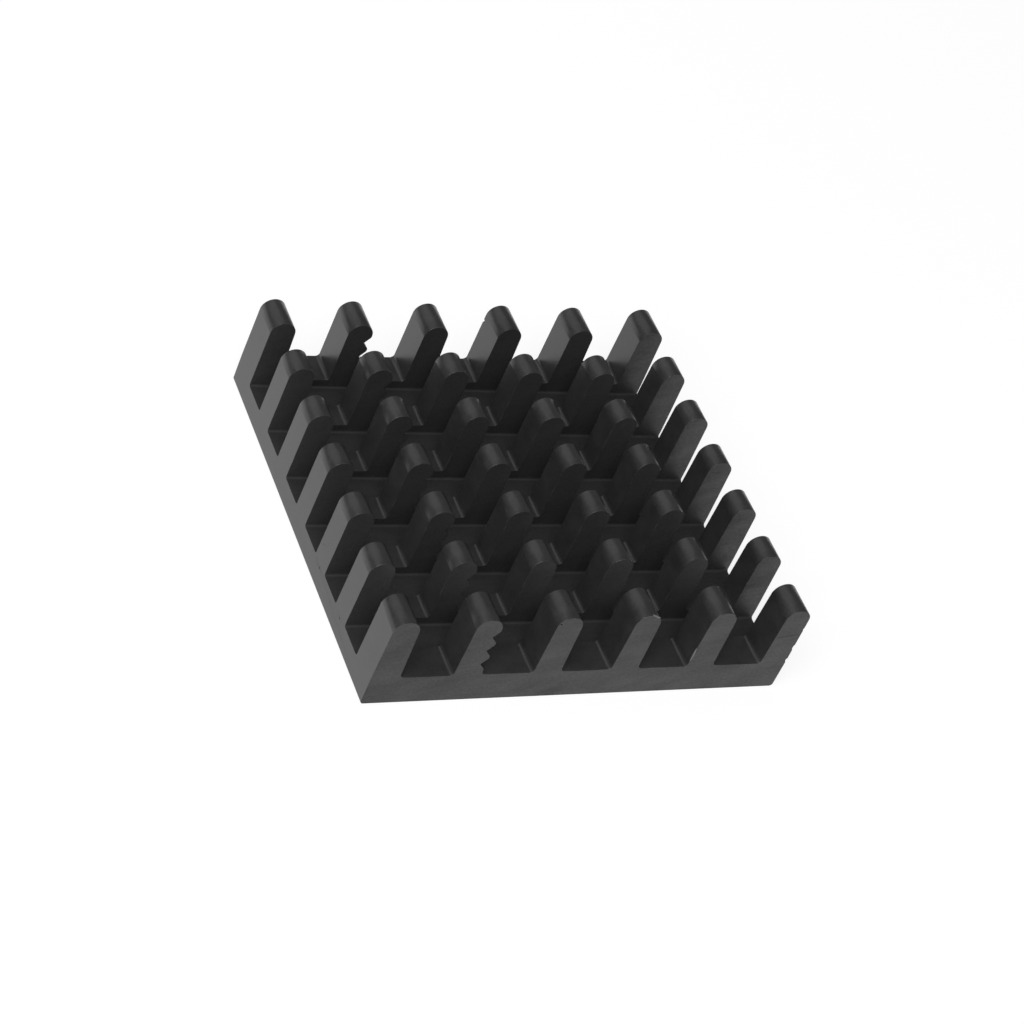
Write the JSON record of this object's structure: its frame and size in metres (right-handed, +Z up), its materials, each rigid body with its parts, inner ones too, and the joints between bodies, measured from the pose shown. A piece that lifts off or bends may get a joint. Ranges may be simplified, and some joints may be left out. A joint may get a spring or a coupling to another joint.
{
  "type": "extruded heat sink",
  "caption": "Black anodised aluminium heat sink for a chip package: a flat base with round-tipped extruded fins, sawn across into rows of pins.",
  "frame": {"origin": "middle of the flat underside", "axes": "+X across the fins, +Y along the fins, +Z up towards the tips of the pins"},
  "size_m": [0.026, 0.025, 0.0063],
  "materials": {
    "anodised_aluminium": "black anodised, satin, with saw marks on the cut faces"
  },
  "bodies": {
    "root": {"heat_sink": "anodised_aluminium"}
  },
  "joints": []
}
